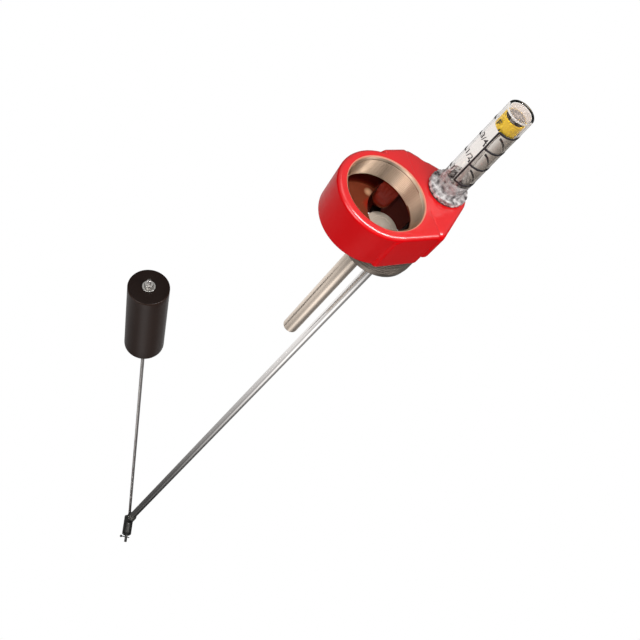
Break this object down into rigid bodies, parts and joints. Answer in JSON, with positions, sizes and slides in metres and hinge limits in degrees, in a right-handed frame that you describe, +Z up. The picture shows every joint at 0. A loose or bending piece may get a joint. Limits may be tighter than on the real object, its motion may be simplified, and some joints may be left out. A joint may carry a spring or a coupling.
{
  "type": "fuel oil tank gauge",
  "caption": "Combined tank float gauge and vent whistle: cast head with threaded vent port, tank thread hub, clear vial, guide tube, hinged float arm and float.",
  "frame": {"origin": "centre of the tank thread hub at the shoulder, where the head meets the tank", "axes": "+Z up along the tank thread axis, out of the tank; +X towards the gauge vial, with the vent port on the -X side"},
  "size_m": [0.158, 0.1184, 0.8295],
  "materials": {
    "red_paint": "gloss red enamel on cast iron",
    "clear_vial": "clear moulded plastic",
    "rubber_seal": "matte",
    "yellow_plastic": "moulded yellow plastic",
    "bright_steel": "bright drawn steel",
    "vent_steel": "drawn steel, slightly warm",
    "dark_steel": "dark oiled wire",
    "dark_case": "dark cast metal",
    "brass": "turned brass",
    "grey_plate": "matte pressed metal",
    "black_foam": "closed-cell rubber foam"
  },
  "bodies": {
    "gauge_body": {"head_casting": "red_paint", "vial": "clear_vial", "vial_gasket": "rubber_seal", "upper_bush": "brass", "lower_bush": "brass", "guide_tube": "bright_steel", "guide_tube_nut": "bright_steel", "whistle_body": "grey_plate", "whistle_cap": "grey_plate", "whistle_carrier": "grey_plate", "vent_tube": "vent_steel", "gear_case": "dark_case", "axle_bush": "brass"},
    "float_lever": {"float_arm": "dark_steel", "axle_gear": "brass", "axle_cotter": "dark_steel", "float": "black_foam", "float_lower_washer": "bright_steel", "float_lower_nut": "bright_steel", "float_upper_washer": "bright_steel", "float_upper_nut": "bright_steel"},
    "spindle_set": {"spindle": "bright_steel", "spindle_gear": "brass", "ribbon_socket": "brass", "ribbon": "bright_steel"},
    "indicator": {"indicator_cup": "yellow_plastic"}
  },
  "joints": [
    {"name": "float_swing", "type": "hinge", "parent": "gauge_body", "child": "float_lever", "pos_m": [0.0205, 0, -0.7], "axis": [-0.4067, -0.9135, 0], "range_deg": [0, 150]},
    {"name": "spindle_spin", "type": "hinge", "parent": "gauge_body", "child": "spindle_set", "pos_m": [0.0205, 0, 0], "axis": [0, 0, -1], "range_deg": [0, 150.5]},
    {"name": "indicator_slide", "type": "slide", "parent": "gauge_body", "child": "indicator", "axis": [0, 0, -1], "range_m": [0, 0.0662]}
  ],
  "couplings": [
    {"joint": "spindle_spin", "follows": "float_swing", "ratio": 1},
    {"joint": "indicator_slide", "follows": "float_swing", "m_per_rad": 0.02521}
  ]
}
